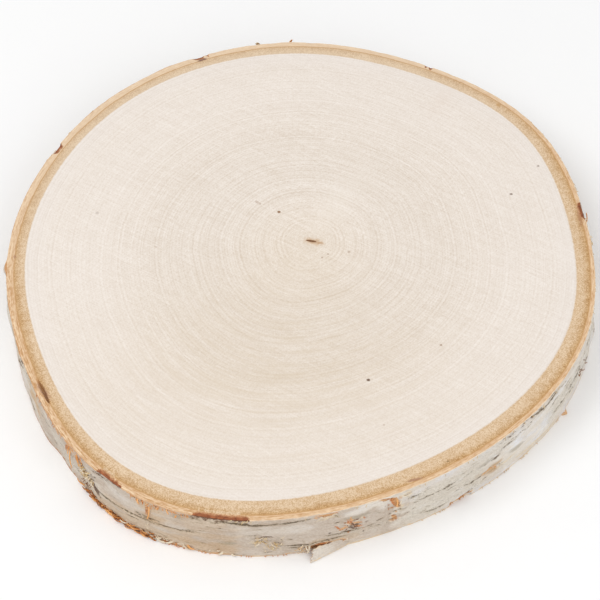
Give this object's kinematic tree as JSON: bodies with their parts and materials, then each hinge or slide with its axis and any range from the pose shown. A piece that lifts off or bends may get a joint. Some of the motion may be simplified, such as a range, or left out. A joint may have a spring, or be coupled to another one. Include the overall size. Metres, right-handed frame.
{
  "type": "birch wood slice",
  "caption": "Round slice sawn across a birch trunk, with pale flat sawn faces and papery, peeling bark left on the rim",
  "frame": {"origin": "on the underside, straight below the pith, where the slice rests", "axes": "+Z out of the upper sawn face, +X to the right of the slice in the picture, +Y away from the viewer"},
  "size_m": [0.2509, 0.2721, 0.025],
  "materials": {
    "birch": "dry, unvarnished sawn wood with papery grey-white bark"
  },
  "bodies": {
    "root": {"birch_slice": "birch"}
  },
  "joints": []
}
